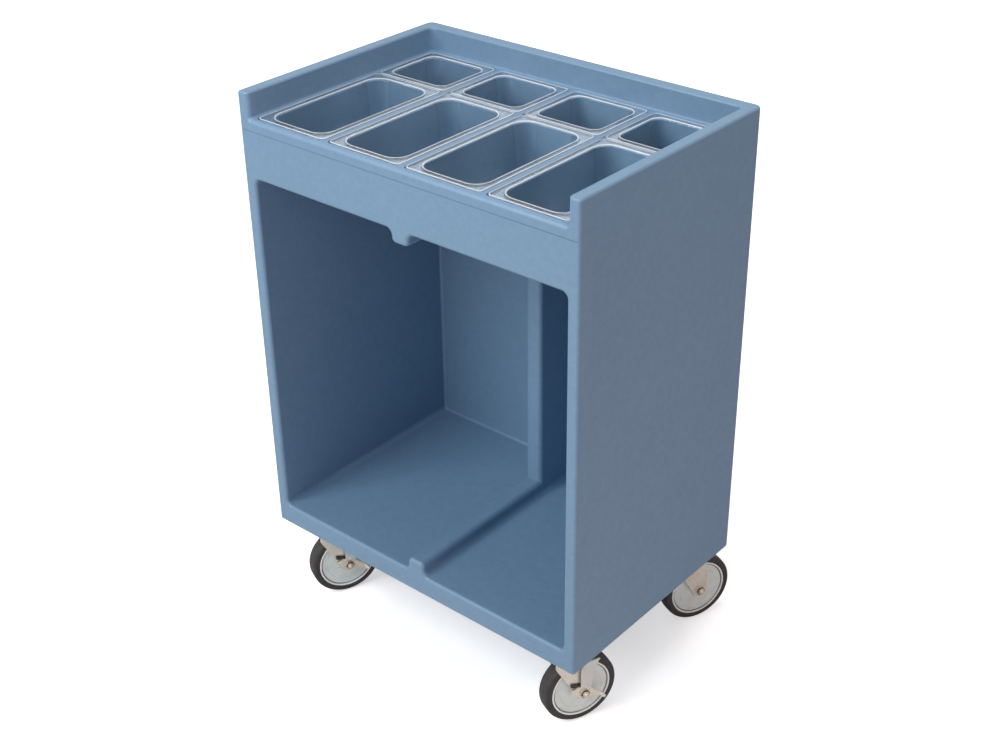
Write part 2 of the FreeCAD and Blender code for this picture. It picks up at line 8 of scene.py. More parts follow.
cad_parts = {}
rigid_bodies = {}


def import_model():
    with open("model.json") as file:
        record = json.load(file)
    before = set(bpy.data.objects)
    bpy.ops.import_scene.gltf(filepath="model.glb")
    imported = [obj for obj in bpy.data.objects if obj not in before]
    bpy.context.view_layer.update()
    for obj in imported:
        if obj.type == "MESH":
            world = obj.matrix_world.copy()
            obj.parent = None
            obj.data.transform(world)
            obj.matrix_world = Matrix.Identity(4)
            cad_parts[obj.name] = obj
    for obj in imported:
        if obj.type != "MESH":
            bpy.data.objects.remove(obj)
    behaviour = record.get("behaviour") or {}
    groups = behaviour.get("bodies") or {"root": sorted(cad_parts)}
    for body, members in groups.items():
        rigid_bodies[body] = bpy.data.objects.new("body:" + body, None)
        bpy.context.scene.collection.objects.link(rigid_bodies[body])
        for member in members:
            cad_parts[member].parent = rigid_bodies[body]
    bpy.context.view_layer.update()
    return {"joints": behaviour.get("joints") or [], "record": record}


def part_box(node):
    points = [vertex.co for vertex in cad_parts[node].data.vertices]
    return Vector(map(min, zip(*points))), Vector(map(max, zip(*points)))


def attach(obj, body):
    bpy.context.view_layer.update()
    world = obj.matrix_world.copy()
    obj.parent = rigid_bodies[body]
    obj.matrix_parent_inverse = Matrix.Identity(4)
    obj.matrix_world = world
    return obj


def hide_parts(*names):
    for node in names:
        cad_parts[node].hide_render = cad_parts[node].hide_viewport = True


# Rolling cart for a serving line: moulded body with an open bay, clear lift-out pans, swivel casters.
# Metres. +X runs along the open front to the right, +Y to the back, +Z up, floor at z = 0.
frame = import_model()
scene = bpy.context.scene
scene.view_settings.view_transform = "Standard"
MM = 0.001

# Limits and steps of the modelling tools
same_plane = 0.02 * MM
merge_gap = 0.01 * MM
edge_margin = 1 * MM
rounding_angle = 0.5
breaking_angle = 0.6
smooth_angle = math.radians(38)
quarter_turn = [math.pi / 2 * step / 5 for step in range(6)]

# Cart body
wall = 27 * MM
front_corner_radius = 6 * MM
back_corner_radius = 15 * MM
edge_radius = 5 * MM
rim_height = 52 * MM
rim_corner_radius = 14 * MM
rim_foot_radius = 4 * MM
deck_edge_radius = 10 * MM
floor_thickness = 47 * MM
ceiling_below_deck = 123 * MM
opening_corner_radius = 13 * MM
opening_foot_radius = 12 * MM
opening_edge_radius = 8 * MM
bay_back_radius = 6 * MM
rib_width = 42 * MM
floor_rib_height = 31 * MM
ceiling_rib_height = 26 * MM
back_rib_depth = 135 * MM
rib_edge_radius = 11 * MM
rib_root_radius = 13 * MM
fascia_margin = 30 * MM
parting_line_drop = 23 * MM
parting_line_width = 1.8 * MM
parting_line_depth = 1.1 * MM

# Pans, and their seats and wells in the deck
pan_wall = 2.5 * MM
pan_draft = math.tan(math.radians(4))
pan_depth = 100 * MM
pan_bottom_radius = 12 * MM
flange_width = 13 * MM
flange_lip = 6 * MM
bead_height = 0.9 * MM
# Depth of the top edges whitened, partly as wear and partly as painted highlight.
wear_and_highlight_depth = 0.55 * MM
flange_corner_radius = 10 * MM
bowl_corner_radius = {"third_pan": 34 * MM, "sixth_pan": 24 * MM}
seat_depth = 5 * MM
seat_clearance = 2 * MM
seat_edge_radius = 1.5 * MM
well_clearance = 2 * MM
well_depth = 102 * MM

# Casters
pad_height = 10 * MM
pad_width = 106 * MM
pad_length = 96 * MM
pad_corner_radius = 12 * MM
wheel_radius = 80 * MM
tyre_width = 35 * MM
tyre_thickness = 18 * MM
tyre_shoulder = 7 * MM
tyre_crown = 0.6 * MM
rim_lip_height = 3 * MM
rim_lip_width = 2.5 * MM
rim_thickness = 3 * MM
web_thickness = 30 * MM
web_dish = 1 * MM
disc_line_inner = 44 * MM
disc_line_outer = 47 * MM
disc_line_flank = 0.6 * MM
disc_line_depth = 0.3 * MM
hub_radius = 19 * MM
hub_length = 40 * MM
hub_clearance = 1 * MM
sleeve_radius = 7.5 * MM
axle_radius = 5 * MM
caster_trail = 36 * MM
fork_sheet = 4.5 * MM
fork_bend_radius = 8 * MM
axle_boss_radius = 16 * MM
crown_bottom = 174 * MM
crown_lead = 24 * MM
crown_trail = 33 * MM
leg_lead_drop = 24 * MM
leg_trail_drop = 36 * MM
race_radius = 31 * MM
race_gap = 1 * MM
plate_width = 102 * MM
plate_length = 92 * MM
plate_thickness = 4.5 * MM
plate_corner_radius = 10 * MM
bolt_edge = 12 * MM
bolt_flats = 13 * MM
bolt_head_height = 5.3 * MM
washer_radius = 8.5 * MM
washer_thickness = 1.6 * MM
axle_flats = 17 * MM
axle_head_height = 6.5 * MM
axle_nut_height = 8 * MM
axle_thread_end = 2.5 * MM

# Side brake
brake_cam_radius = 17 * MM
brake_cam_thickness = 3 * MM
brake_hub_radius = 16 * MM
brake_sheet = 3 * MM
pedal_sheet = 2.5 * MM
brake_edge = 0.5 * MM
brake_gap = 0.1 * MM
brake_weld_gap = 0.06 * MM
rivet_sink = 0.2 * MM
horn_lean = math.radians(-112)
horn_bend_start = 38 * MM
horn_bend_radius = 5 * MM
horn_bend = math.radians(62)
pedal_bend_start = 72 * MM
pedal_bend_radius = 8 * MM
pedal_bend = math.radians(28)
bend_steps = 8

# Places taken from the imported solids
body_low, body_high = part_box("cart_body")
left, front, pad_bottom = body_low
right, back, top = body_high
underside = pad_bottom + pad_height
deck = top - rim_height
ceiling = deck - ceiling_below_deck
bay_floor = underside + floor_thickness
bay_back = back - wall
inner_half_width = right - wall
crown_top = crown_bottom + fork_sheet
leg_inner = hub_length / 2 + hub_clearance
leg_outer = leg_inner + fork_sheet
lever_inner = leg_outer + brake_cam_thickness + brake_gap
lever_outer = lever_inner + brake_sheet
rim_radius = wheel_radius - tyre_thickness
disc_groove_radius = rim_radius - rim_thickness
caster_corners = ("front_left", "front_right", "rear_left", "rear_right")
braked_corners = ("front_left", "front_right")
pan_columns = (1, 2, 3, 4)
pan_nodes = ["%s_%d" % (kind, column) for kind in bowl_corner_radius for column in pan_columns]


# Drawing and modelling tools

def on_plan(height):
    """Puts a drawing on the level plane at a height."""
    return lambda point: Vector((point[0], point[1], height))


def on_front(y):
    """Puts a drawing on the upright plane at y, seen from the front."""
    return lambda point: Vector((point[0], y, point[1]))


def on_side(x):
    """Puts a drawing on the upright plane at x, its first axis to the back."""
    return lambda point: Vector((x, point[0], point[1]))


def rounded(corners, steps=6):
    """The points of an outline through corners (a, b, radius), each rounded by its radius."""
    points = []
    for i, (a, b, radius) in enumerate(corners):
        here = Vector((a, b))
        before = (Vector(corners[i - 1][:2]) - here).normalized()
        after = (Vector(corners[(i + 1) % len(corners)][:2]) - here).normalized()
        if radius == 0:
            points.append(here)
            continue
        half = before.angle(after) / 2
        centre = here + (before + after).normalized() * (radius / math.sin(half))
        start = here + before * (radius / math.tan(half)) - centre
        sweep = math.pi - 2 * half
        if before.x * after.y - before.y * after.x > 0:
            sweep = -sweep
        for step in range(steps + 1):
            points.append(centre + Matrix.Rotation(sweep * step / steps, 2) @ start)
    return points


def rectangle(x0, x1, y0, y1, radius):
    """The corners of a rectangle, all rounded alike."""
    return [(x0, y0, radius), (x1, y0, radius), (x1, y1, radius), (x0, y1, radius)]


def begin(points, fill="NGON"):
    """Starts a piece as a closed line through points, and leaves it open for editing."""
    bpy.ops.object.select_all(action="DESELECT")
    bpy.ops.mesh.primitive_circle_add(vertices=len(points), fill_type=fill, enter_editmode=True)
    mesh = bpy.context.edit_object.data
    for corner, point in zip(bmesh.from_edit_mesh(mesh).verts, points):
        corner.co = point
    bmesh.update_edit_mesh(mesh)
    return mesh


def close_up():
    """Turns the faces of the piece being edited outwards and leaves edit mode."""
    bpy.ops.mesh.select_all(action="SELECT")
    bpy.ops.mesh.normals_make_consistent(inside=False)
    bpy.ops.object.mode_set(mode="OBJECT")
    return bpy.context.object


def lofted(loops):
    """A closed piece pulled from loop to loop, with as many points in each."""
    mesh = begin(loops[0])
    for before, after in zip(loops, loops[1:]):
        bpy.ops.mesh.extrude_region_move()
        for corner in bmesh.from_edit_mesh(mesh).verts:
            if corner.select:
                nearest = min(range(len(before)), key=lambda i: (corner.co - before[i]).length_squared)
                corner.co = after[nearest]
        bmesh.update_edit_mesh(mesh)
    return close_up()


def prism(points, place, along):
    """A straight piece with an outline as its section."""
    start = [place(point) for point in points]
    return lofted([start, [point + Vector(along) for point in start]])


def turned(section, steps=96):
    """A ring turned about the axle, the X axis, from a closed section (along, radius)."""
    begin([Vector((along, 0, radius)) for along, radius in section], fill="NOTHING")
    bpy.ops.mesh.select_all(action="SELECT")
    bpy.ops.mesh.spin(steps=steps, angle=2 * math.pi, center=(0, 0, 0), axis=(1, 0, 0))
    bpy.ops.mesh.select_all(action="SELECT")
    bpy.ops.mesh.remove_doubles(threshold=merge_gap)
    return close_up()


def take_up(piece):
    """Selects one piece alone."""
    bpy.ops.object.select_all(action="DESELECT")
    piece.select_set(True)
    bpy.context.view_layer.objects.active = piece


def apply_modifier(piece, kind, **settings):
    """Gives a piece one modifier and applies it."""
    take_up(piece)
    modifier = piece.modifiers.new(kind.lower(), kind)
    for key, value in settings.items():
        setattr(modifier, key, value)
    bpy.ops.object.modifier_apply(modifier=modifier.name)


def carve(piece, tool, operation="DIFFERENCE"):
    """Cuts a tool out of a piece, or joins or crosses the two."""
    apply_modifier(piece, "BOOLEAN", object=tool, operation=operation, solver="EXACT")
    bpy.data.objects.remove(tool)


def soften(piece, radius, chosen, steps=4):
    """Rounds the sharp edges that a test on their two ends picks."""
    take_up(piece)
    bpy.ops.object.mode_set(mode="EDIT")
    bpy.ops.mesh.select_mode(type="EDGE")
    bpy.ops.mesh.select_all(action="DESELECT")
    shape = bmesh.from_edit_mesh(piece.data)
    for edge in shape.edges:
        if edge.calc_face_angle(0) > rounding_angle and chosen(edge.verts[0].co, edge.verts[1].co):
            edge.select_set(True)
    bmesh.update_edit_mesh(piece.data)
    bpy.ops.mesh.bevel(offset=radius, segments=steps, affect="EDGES")
    bpy.ops.object.mode_set(mode="OBJECT")


def in_plane(axis, value):
    """A test for edges that lie in the plane where one coordinate has a value."""
    return lambda a, b: max(abs(a[axis] - value), abs(b[axis] - value)) < same_plane


def break_edges(piece, size):
    """Takes the sharpness off every edge of a piece."""
    apply_modifier(piece, "BEVEL", width=size, segments=2, limit_method="ANGLE", angle_limit=breaking_angle)


def weld(piece, gap=merge_gap):
    """Merges points that lie together, and drops the faces that this closes."""
    take_up(piece)
    bpy.ops.object.mode_set(mode="EDIT")
    bpy.ops.mesh.select_all(action="SELECT")
    bpy.ops.mesh.remove_doubles(threshold=gap)
    bpy.ops.mesh.dissolve_degenerate(threshold=merge_gap)
    bpy.ops.object.mode_set(mode="OBJECT")


def shade(piece):
    """Smooth shading that keeps flat faces flat."""
    weld(piece)
    bpy.ops.object.shade_smooth_by_angle(angle=smooth_angle)
    apply_modifier(piece, "WEIGHTED_NORMAL", keep_sharp=True)


def mark(piece, name, value):
    """Gives each point of a piece a number for its finish to read."""
    numbers = piece.data.attributes.new(name, "FLOAT", "POINT")
    for point, number in zip(piece.data.vertices, numbers.data):
        number.value = value(point.co)


def joined(pieces):
    """Several pieces made one."""
    take_up(pieces[0])
    for piece in pieces[1:]:
        piece.select_set(True)
    bpy.ops.object.join()
    return bpy.context.object


def copy_at(model, placement):
    """A copy of a model with its own mesh, put in its place."""
    piece = model.copy()
    piece.data = model.data.copy()
    piece.data.transform(placement)
    scene.collection.objects.link(piece)
    return piece


def dress(piece, name, slot, body, *nodes):
    """Names a piece, gives it the finish of a slot, and lets it ride on a body in place of solids."""
    piece.name = name
    piece.data.name = name
    piece.data.materials.clear()
    piece.data.materials.append(finishes[slot])
    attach(piece, body)
    if nodes:
        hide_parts(*nodes)


# Finishes

def srgb(red, green, blue):
    """A colour as seen on a screen, 0 to 255, for a shader."""
    return tuple(((c / 255 + 0.055) / 1.055) ** 2.4 for c in (red, green, blue)) + (1.0,)


class Wire:
    """An output of a node in a finish; arithmetic on it adds Math nodes."""

    def __init__(self, finish, socket):
        self.finish = finish
        self.socket = socket

    def math(self, operation, first, second):
        return self.finish.node("ShaderNodeMath", {"operation": operation}, {0: first, 1: second})

    def __add__(self, other):
        return self.math("ADD", self, other)

    def __sub__(self, other):
        return self.math("SUBTRACT", self, other)

    def __rsub__(self, other):
        return self.math("SUBTRACT", other, self)

    def __mul__(self, other):
        return self.math("MULTIPLY", self, other)

    __radd__ = __add__
    __rmul__ = __mul__


class Finish:
    """A material in the making, on one Principled shader."""

    def __init__(self, name, **constants):
        self.material = bpy.data.materials.new(name)
        self.material.use_nodes = True
        self.tree = self.material.node_tree
        self.shader = self.tree.nodes["Principled BSDF"]
        for socket, value in constants.items():
            self.shader.inputs[socket.replace("_", " ")].default_value = value
        self.plain = Wire(self, self.shader.outputs[0])
        self.place = self.node("ShaderNodeTexCoord", {}, {}, "Object")

    def feed(self, socket, value):
        """Links a wire to a socket, or sets the socket to a value."""
        if isinstance(value, Wire):
            self.tree.links.new(value.socket, socket)
        else:
            socket.default_value = value

    def node(self, kind, settings, inputs, output=0):
        """Adds a node with its settings and inputs, and gives one of its outputs."""
        node = self.tree.nodes.new(kind)
        for key, value in settings.items():
            setattr(node, key, value)
        for key, value in inputs.items():
            self.feed(node.inputs[key], value)
        return Wire(self, node.outputs[output])

    def noise(self, scale, detail=2.0, place=None):
        """Cloudy noise, about 0.5, so many lumps to the metre."""
        inputs = {"Vector": place or self.place, "Scale": scale, "Detail": detail}
        return self.node("ShaderNodeTexNoise", {}, inputs)

    def stretched(self, scale):
        """The piece's own coordinates, scaled along each axis."""
        return self.node("ShaderNodeMapping", {}, {"Vector": self.place, "Scale": scale})

    def step(self, value, low, high):
        """0 below one level, 1 above another, a ramp between."""
        return self.node("ShaderNodeMapRange", {}, {"Value": value, "From Min": low, "From Max": high})

    def patches(self, scale, detail, low, high):
        """Patches of noise, 0 below one level and 1 above another."""
        return self.step(self.noise(scale, detail), low, high)

    def attribute(self, name):
        """A number that the mesh carries, 0 where it carries none."""
        return self.node("ShaderNodeAttribute", {"attribute_name": name}, {}, "Fac")

    def mix(self, factor, first, second):
        """A blend of two colours."""
        return self.node("ShaderNodeMix", {"data_type": "RGBA"}, {0: factor, 6: first, 7: second}, 2)

    def relief(self, height):
        """A normal from a height in metres."""
        return self.node("ShaderNodeBump", {}, {"Strength": 1.0, "Distance": 1.0, "Height": height})

    def set(self, **inputs):
        """Feeds the shader's inputs and gives the finished material."""
        for socket, value in inputs.items():
            self.feed(self.shader.inputs[socket.replace("_", " ")], value)
        return self.material

    def show(self, surface):
        """Puts another shader on the surface and gives the finished material."""
        self.feed(self.tree.nodes["Material Output"].inputs["Surface"], surface)
        return self.material


def slate_blue_plastic():
    """Slate-blue moulded polyethylene, grainy and speckled."""
    finish = Finish("slate_blue_plastic", IOR=1.5, Specular_IOR_Level=0.6)
    cloud = finish.patches(3.5, 3.0, 0.3, 0.7)
    speckle = finish.patches(330.0, 2.0, 0.3, 0.7)
    fleck = finish.patches(900.0, 1.0, 0.3, 0.7)
    mottle = finish.patches(75.0, 3.0, 0.3, 0.7)
    blend = cloud * 0.2 + mottle * 0.35 + speckle * 0.3 + fleck * 0.15
    colour = finish.mix(blend, srgb(102, 134, 163), srgb(117, 148, 176))
    grain_height = 0.07 * MM
    wave_height = 1.5 * MM
    return finish.set(
        Base_Color=colour,
        Roughness=0.4 + 0.14 * finish.noise(60.0, 3.0),
        Normal=finish.relief(finish.noise(1100.0, 3.0) * grain_height + finish.noise(4.0, 1.0) * wave_height))


def clear_polycarbonate():
    """Clear polycarbonate, lightly scuffed, its raised edges whitened: partly wear, partly a painted
    highlight.
    """
    finish = Finish("clear_polycarbonate", IOR=1.5, Transmission_Weight=1.0)
    scuff = finish.patches(260.0, 5.0, 0.5, 0.8)
    finish.set(
        Base_Color=finish.mix(scuff, srgb(246, 249, 250), srgb(236, 240, 242)),
        Roughness=0.03 + 0.12 * scuff,
        Alpha=0.36 + 0.12 * scuff)
    # Whitened raised edges: partly wear, partly a painted highlight for the bright lines of light along the
    # rims.
    wear_and_highlight_shader = finish.node("ShaderNodeBsdfPrincipled", {}, {"Base Color": srgb(238, 241, 243), "Roughness": 0.2})
    wear_and_highlight_mix = finish.attribute("wear_and_highlight_edge") * (0.75 - 0.25 * scuff)
    return finish.show(finish.node("ShaderNodeMixShader", {}, {0: wear_and_highlight_mix, 1: finish.plain, 2: wear_and_highlight_shader}))


def pale_grey_plastic():
    """Pale grey moulded wheel: a dusty disc, painted shade in the groove round it, and a clean bright ring."""
    finish = Finish("pale_grey_plastic", IOR=1.5)
    radius = finish.attribute("turning_radius")
    rings = finish.node("ShaderNodeTexNoise", {"noise_dimensions": "1D"},
                        {"W": radius, "Scale": 1100.0, "Detail": 3.0})
    dust = finish.patches(45.0, 4.0, 0.35, 0.75)
    disc = finish.mix(dust * 0.5 + rings * 0.5, srgb(232, 244, 240), srgb(204, 217, 213))
    # Painted shade: the groove round the disc is darkened in its colour.
    groove_shade = finish.step(radius, disc_groove_radius - 0.6 * MM, disc_groove_radius + 0.8 * MM)
    ring = finish.step(radius, disc_groove_radius + 2 * MM, disc_groove_radius + 2.4 * MM)
    ring_height = 0.06 * MM
    grain_height = 0.02 * MM
    # The dark grey here is the painted shade in the groove.
    colour = finish.mix(ring, finish.mix(groove_shade, disc, srgb(104, 107, 107)), srgb(247, 252, 248))
    return finish.set(
        Base_Color=colour,
        Roughness=0.3 + 0.18 * dust,
        Normal=finish.relief(rings * ring_height + finish.noise(900.0) * grain_height))


def charcoal_rubber():
    """Charcoal rubber, with a bloom of dust."""
    finish = Finish("charcoal_rubber", IOR=1.45, Specular_IOR_Level=0.4)
    dust = finish.patches(60.0, 5.0, 0.4, 0.8)
    grain_height = 0.06 * MM
    return finish.set(
        Base_Color=finish.mix(dust, srgb(52, 49, 50), srgb(70, 67, 67)),
        Roughness=0.5 + 0.22 * dust,
        Normal=finish.relief(finish.noise(1500.0, 3.0) * grain_height))


def zinc_steel(name, colour, shadow, roughness, metallic):
    """Zinc plated steel, drawn and mottled, brighter where a piece is marked so, and painted near black where
    a piece is marked for painted shade.
    """
    finish = Finish(name)
    drawn = finish.noise(1.0, 3.0, finish.stretched((900.0, 900.0, 60.0)))
    mottle = finish.patches(40.0, 2.0, 0.3, 0.75)
    mark_height = 0.002 * MM
    bright = finish.attribute("bright")
    plating = finish.mix(mottle * 0.8 + drawn * 0.2, colour, shadow)
    plating = finish.mix(bright * (1.0 - 0.2 * mottle), plating, srgb(214, 218, 214))
    # Painted shade: marked points turn near black, standing in for the shade round the nut.
    plating = finish.mix(finish.attribute("painted_shade"), plating, srgb(52, 49, 47))
    return finish.set(
        Base_Color=plating,
        Metallic=metallic - (0.75 * metallic) * bright,
        Roughness=roughness + 0.1 * mottle + 0.15 * bright,
        Normal=finish.relief(drawn * mark_height))


def shade_black_steel():
    """Steel painted near black as painted shade, rubbed in places."""
    finish = Finish("shade_black_steel", IOR=1.5)
    rub = finish.patches(120.0, 4.0, 0.55, 0.8)
    return finish.set(
        Base_Color=finish.mix(rub, srgb(30, 29, 30), srgb(62, 60, 60)),
        Roughness=0.35 + 0.15 * finish.noise(300.0))


def turned_brass():
    """Turned brass."""
    finish = Finish("turned_brass")
    mottle = finish.noise(200.0, 3.0)
    return finish.set(
        Base_Color=finish.mix(mottle, srgb(214, 182, 118), srgb(190, 156, 92)),
        Metallic=1.0,
        Roughness=0.25 + 0.15 * mottle)


finishes = {
    "body_plastic": slate_blue_plastic(),
    "pan_clear": clear_polycarbonate(),
    "wheel_plastic": pale_grey_plastic(),
    "tyre_rubber": charcoal_rubber(),
    "caster_steel": zinc_steel(
        "plated_sheet_steel", srgb(232, 225, 212), srgb(217, 207, 192), roughness=0.24, metallic=0.5),
    "fastener_steel": zinc_steel(
        "plated_fastener_steel", srgb(224, 212, 198), srgb(202, 190, 175), roughness=0.32, metallic=0.55),
    # The cam's near black finish is painted shade for the gap under the fork leg.
    "cam_black": shade_black_steel(),
    "insert_brass": turned_brass(),
}


# Cart body

def bay_outline():
    """The front opening, with the rib's ends standing in its sill and its head."""
    half_rib = rib_width / 2
    right_half = [
        (half_rib, bay_floor + floor_rib_height, rib_edge_radius),
        (half_rib, bay_floor, rib_root_radius),
        (inner_half_width, bay_floor, opening_foot_radius),
        (inner_half_width, ceiling, opening_corner_radius),
        (half_rib, ceiling, rib_root_radius),
        (half_rib, ceiling - ceiling_rib_height, rib_edge_radius),
    ]
    return right_half + [(-a, b, radius) for a, b, radius in reversed(right_half)]


def bay_space():
    """The storage bay."""
    bay = prism(rounded(bay_outline(), 8), on_front(front - wall), (0, bay_back - front + wall, 0))
    soften(bay, bay_back_radius, in_plane(1, bay_back), 5)
    return bay


def back_rib():
    """The upright stretch of the rib, on the back of the bay."""
    rib_front = bay_back - back_rib_depth
    lap = 15 * MM
    rib = [
        (-rib_width / 2, rib_front, rib_edge_radius),
        (rib_width / 2, rib_front, rib_edge_radius),
        (rib_width / 2, bay_back + lap, 0),
        (-rib_width / 2, bay_back + lap, 0),
    ]
    return prism(rounded(rib, 6), on_plan(bay_floor - lap), (0, 0, ceiling - bay_floor + 2 * lap))


def rim_space():
    """The space above the deck, inside the rim and open to the front."""
    open_end = 2 * front
    corners = [
        (-inner_half_width, open_end, 0),
        (inner_half_width, open_end, 0),
        (inner_half_width, bay_back, rim_corner_radius),
        (-inner_half_width, bay_back, rim_corner_radius),
    ]
    space = prism(rounded(corners, 8), on_plan(deck), (0, 0, 2 * rim_height))
    on_deck, at_open_end = in_plane(2, deck), in_plane(1, open_end)
    soften(space, rim_foot_radius, lambda a, b: on_deck(a, b) and not at_open_end(a, b), 5)
    return space


def between_posts(a, b):
    """Whether an edge lies on the front face, between the two posts."""
    return in_plane(1, front)(a, b) and max(abs(a.x), abs(b.x)) < inner_half_width + edge_margin


def deck_front_edge(a, b):
    """Whether an edge runs along the deck's front and up the inside of the posts."""
    return between_posts(a, b) and min(a.z, b.z) > deck - edge_margin


def opening_edge(a, b):
    """Whether an edge runs round the bay on the front face."""
    above_sill = min(a.z, b.z) > underside + edge_margin
    below_deck = max(a.z, b.z) < deck - fascia_margin
    return between_posts(a, b) and above_sill and below_deck


def seat_edge(a, b):
    """Whether an edge runs round a seat on top of the deck."""
    return in_plane(2, deck)(a, b) and min(a.y, b.y) > front + deck_edge_radius + edge_margin


def upright_block(low, high, radius, z0, z1):
    """An upright block between two corners on the plan."""
    outline = rounded(rectangle(low[0], high[0], low[1], high[1], radius), 10)
    return prism(outline, on_plan(z0), (0, 0, z1 - z0))


def make_cart_body():
    """The moulded body: panels, deck with its rim, bay, rib and caster pads."""
    plan = [(left, front, front_corner_radius), (right, front, front_corner_radius),
            (right, back, back_corner_radius), (left, back, back_corner_radius)]
    body = prism(rounded(plan, 8), on_plan(underside), (0, 0, top - underside))
    carve(body, rim_space())
    carve(body, bay_space())
    carve(body, back_rib(), "UNION")
    soften(body, deck_edge_radius, deck_front_edge, 7)
    soften(body, edge_radius, in_plane(2, top), 6)
    soften(body, edge_radius, in_plane(2, underside), 6)
    soften(body, opening_edge_radius, opening_edge, 5)
    clearance = Vector((seat_clearance, seat_clearance, 0))
    for column in pan_columns:
        low = Vector(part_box("third_pan_%d" % column)[0]) - clearance
        high = Vector(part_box("sixth_pan_%d" % column)[1]) + clearance
        carve(body, upright_block(low, high, flange_corner_radius, deck - seat_depth, top))
    soften(body, seat_edge_radius, seat_edge, 3)
    inset = flange_width - well_clearance
    for node in pan_nodes:
        low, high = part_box(node)
        well_low = (low[0] + inset, low[1] + inset)
        well_high = (high[0] - inset, high[1] - inset)
        radius = bowl_corner_radius[node.rsplit("_", 1)[0]]
        carve(body, upright_block(well_low, well_high, radius, deck - well_depth, deck))
    line = deck - parting_line_drop
    half_line = parting_line_width / 2
    groove = rectangle(left - wall, right + wall, line - half_line, line + half_line, 0)
    carve(body, prism(rounded(groove), on_front(front - wall), (0, wall + parting_line_depth, 0)))
    for corner in caster_corners:
        x, y, _ = kingpin(corner)
        low = (x - pad_width / 2, y - pad_length / 2)
        high = (x + pad_width / 2, y + pad_length / 2)
        carve(body, upright_block(low, high, pad_corner_radius, pad_bottom, underside + edge_radius), "UNION")
    shade(body)
    dress(body, "moulded_body", "body_plastic", "cart", "cart_body")


# Pans

def pan_loop(half_x, half_y, inset, radius, z):
    """One level of a pan: its outline drawn in from the flange's edge."""
    corners = rectangle(inset - half_x, half_x - inset, inset - half_y, half_y - inset, radius)
    return [on_plan(z)(point) for point in rounded(corners, 10)]


def make_pan_model(half_x, half_y, bowl_radius):
    """A drop-in pan about the middle of its flange's top: bowl, flange and turned-down lip."""
    def bowl(inset, z):
        return pan_loop(half_x, half_y, inset, bowl_radius - (inset - flange_width), z)

    def flange(inset, z):
        return pan_loop(half_x, half_y, inset, flange_corner_radius - inset, z)

    def foot(wall_inset, bottom, radius, angles):
        arc = []
        for angle in angles:
            rise = radius * (1 - math.cos(angle))
            drawn_in = pan_draft * (-bottom - rise) + radius * (1 - math.sin(angle))
            arc.append(bowl(wall_inset + drawn_in, bottom + rise))
        return arc

    rim = flange_width + pan_wall
    loops = foot(flange_width, -pan_depth, pan_bottom_radius, quarter_turn)
    loops += [  # up the outside, round the lip, over the two beads and into the bowl
        bowl(flange_width + pan_draft * 8 * MM, -8 * MM),
        bowl(flange_width, -pan_wall - 1.2 * MM),
        bowl(flange_width - 1.2 * MM, -pan_wall),
        flange(pan_wall + 0.8 * MM, -pan_wall),
        flange(pan_wall, -pan_wall - 0.8 * MM),
        flange(pan_wall, -flange_lip + 0.5 * MM),
        flange(pan_wall - 0.5 * MM, -flange_lip),
        flange(0.7 * MM, -flange_lip),
        flange(0, -flange_lip + 0.7 * MM),
        flange(0, -1.4 * MM),
        flange(0.3 * MM, -0.3 * MM),
        flange(1 * MM, 0),
        flange(2 * MM, 0),
        flange(2.8 * MM, -bead_height),
        bowl(rim - 3.6 * MM, -bead_height),
        bowl(rim - 2.8 * MM, 0),
        bowl(rim - 1.2 * MM, 0),
        bowl(rim - 0.4 * MM, -0.5 * MM),
        bowl(rim + 0.1 * MM, -1.8 * MM),
        bowl(rim + pan_draft * 9 * MM, -9 * MM),
    ]
    loops += foot(rim, -pan_depth + pan_wall, pan_bottom_radius - pan_wall, reversed(quarter_turn))
    pan = lofted(loops)
    # Marks the raised top edges for the whitening that is partly wear and partly painted highlight.
    mark(pan, "wear_and_highlight_edge", lambda point: 1.0 if point.z > -wear_and_highlight_depth else 0.0)
    shade(pan)
    return pan


def make_pans():
    """The eight pans, each in its place on the deck."""
    for kind, radius in bowl_corner_radius.items():
        low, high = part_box(kind + "_1")
        model = make_pan_model((high[0] - low[0]) / 2, (high[1] - low[1]) / 2, radius)
        for node in [name for name in pan_nodes if name.startswith(kind)]:
            low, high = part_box(node)
            middle = ((low[0] + high[0]) / 2, (low[1] + high[1]) / 2, high[2])
            pan = copy_at(model, Matrix.Translation(middle))
            dress(pan, "clear_" + node, "pan_clear", node, node)
        bpy.data.objects.remove(model)


# Casters, drawn about the middle of the wheel with the axle along X, or about the kingpin

def joint(name):
    """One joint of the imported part."""
    return next(item for item in frame["joints"] if item["name"] == name)


def kingpin(corner):
    """Where a caster's kingpin stands."""
    return joint(corner + "_swivel_turn")["pos_m"]


def heading(corner):
    """How a caster is turned about its kingpin."""
    axis = joint(corner + "_wheel_spin")["axis"]
    return Matrix.Rotation(math.atan2(axis[1], axis[0]), 4, "Z")


def at_axle(corner):
    """The place of a piece drawn about the wheel's middle."""
    return Matrix.Translation(joint(corner + "_wheel_spin")["pos_m"]) @ heading(corner)


def at_kingpin(corner):
    """The place of a turned piece drawn about the kingpin, from the floor up."""
    x, y, _ = kingpin(corner)
    return Matrix.Translation((x, y, 0)) @ heading(corner)


def mirrored(half):
    """A section and its mirror image across the wheel's middle."""
    return half + [(-a, b, radius) for a, b, radius in reversed(half)]


def make_tyre_model():
    """Rubber tyre with a slightly crowned tread and a step beside the wheel's ring."""
    half = tyre_width / 2
    lip = rim_radius + rim_lip_height
    section = mirrored([
        (half - rim_lip_width, rim_radius, 0),
        (half - rim_lip_width, lip, 0),
        (half - 0.9 * MM, lip, 0.2 * MM),
        (half - 0.5 * MM, lip + 1.5 * MM, 0.5 * MM),
        (half, lip + 3 * MM, 1.5 * MM),
        (half, wheel_radius - tyre_crown, tyre_shoulder),
    ])
    section.insert(len(section) // 2, (0, wheel_radius, 20 * MM))
    tyre = turned(rounded(section, 6), 120)
    shade(tyre)
    return tyre


